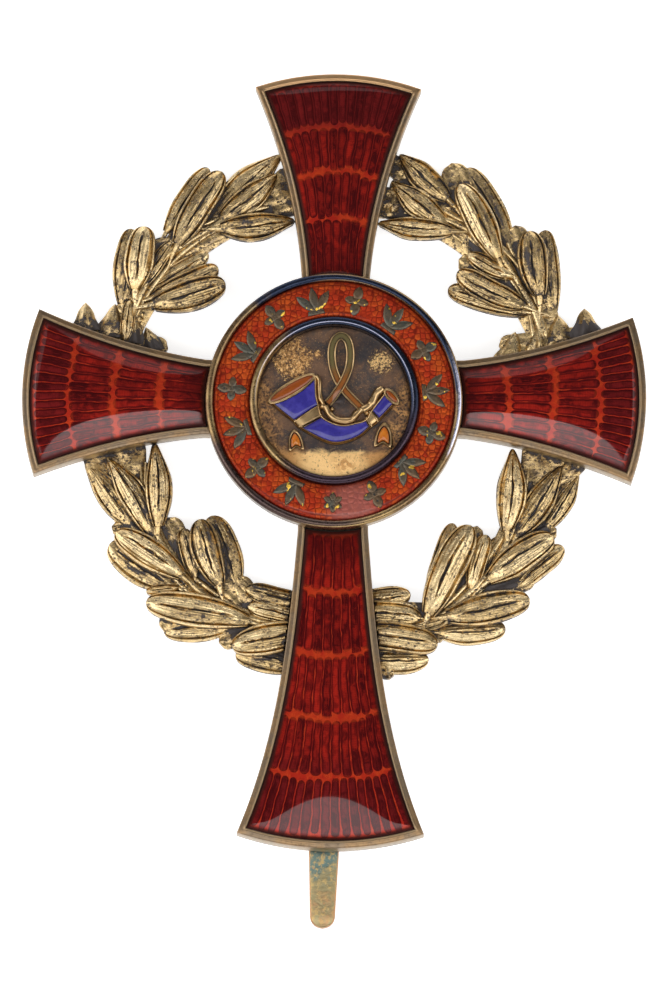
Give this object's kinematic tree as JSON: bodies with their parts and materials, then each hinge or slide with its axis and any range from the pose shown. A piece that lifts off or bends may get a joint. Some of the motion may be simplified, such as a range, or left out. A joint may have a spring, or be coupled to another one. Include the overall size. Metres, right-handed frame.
{
  "type": "officer's breast cross",
  "caption": "Gilt and enamel breast cross with flared arms, a round medallion with a hunting horn, a laurel wreath behind the arms and a flat pin at the back.",
  "frame": {"origin": "on the medallion's axis, in the plane of the pin's flat back, on which the cross lies", "axes": "+Y to the end of the top arm, +Z out of the face, +X to the right arm seen from the front"},
  "size_m": [0.0498, 0.0683, 0.0064],
  "materials": {
    "gilt": "polished",
    "pale_gilt": "satin with dark recesses",
    "dark_gilt": "satin, worn",
    "tarnished_gilt": "tarnished",
    "red_enamel": "gloss, translucent",
    "orange_enamel": "gloss, translucent",
    "blue_enamel": "gloss, translucent"
  },
  "bodies": {
    "root": {"cross_frame": "gilt", "enamel_top": "red_enamel", "enamel_left": "red_enamel", "enamel_right": "red_enamel", "enamel_bottom": "red_enamel", "medallion_ring": "gilt", "band_enamel": "orange_enamel", "centre_disc": "dark_gilt", "horn": "gilt", "bell_enamel": "blue_enamel", "belly_enamel": "blue_enamel", "neck_enamel": "blue_enamel", "bell_mouth_enamel": "orange_enamel", "mouthpiece_enamel": "orange_enamel", "tassel_left": "gilt", "tassel_right": "gilt", "tassel_enamel_left": "orange_enamel", "tassel_enamel_right": "orange_enamel", "wreath_left": "pale_gilt", "wreath_right": "pale_gilt", "pin": "tarnished_gilt"}
  },
  "joints": []
}
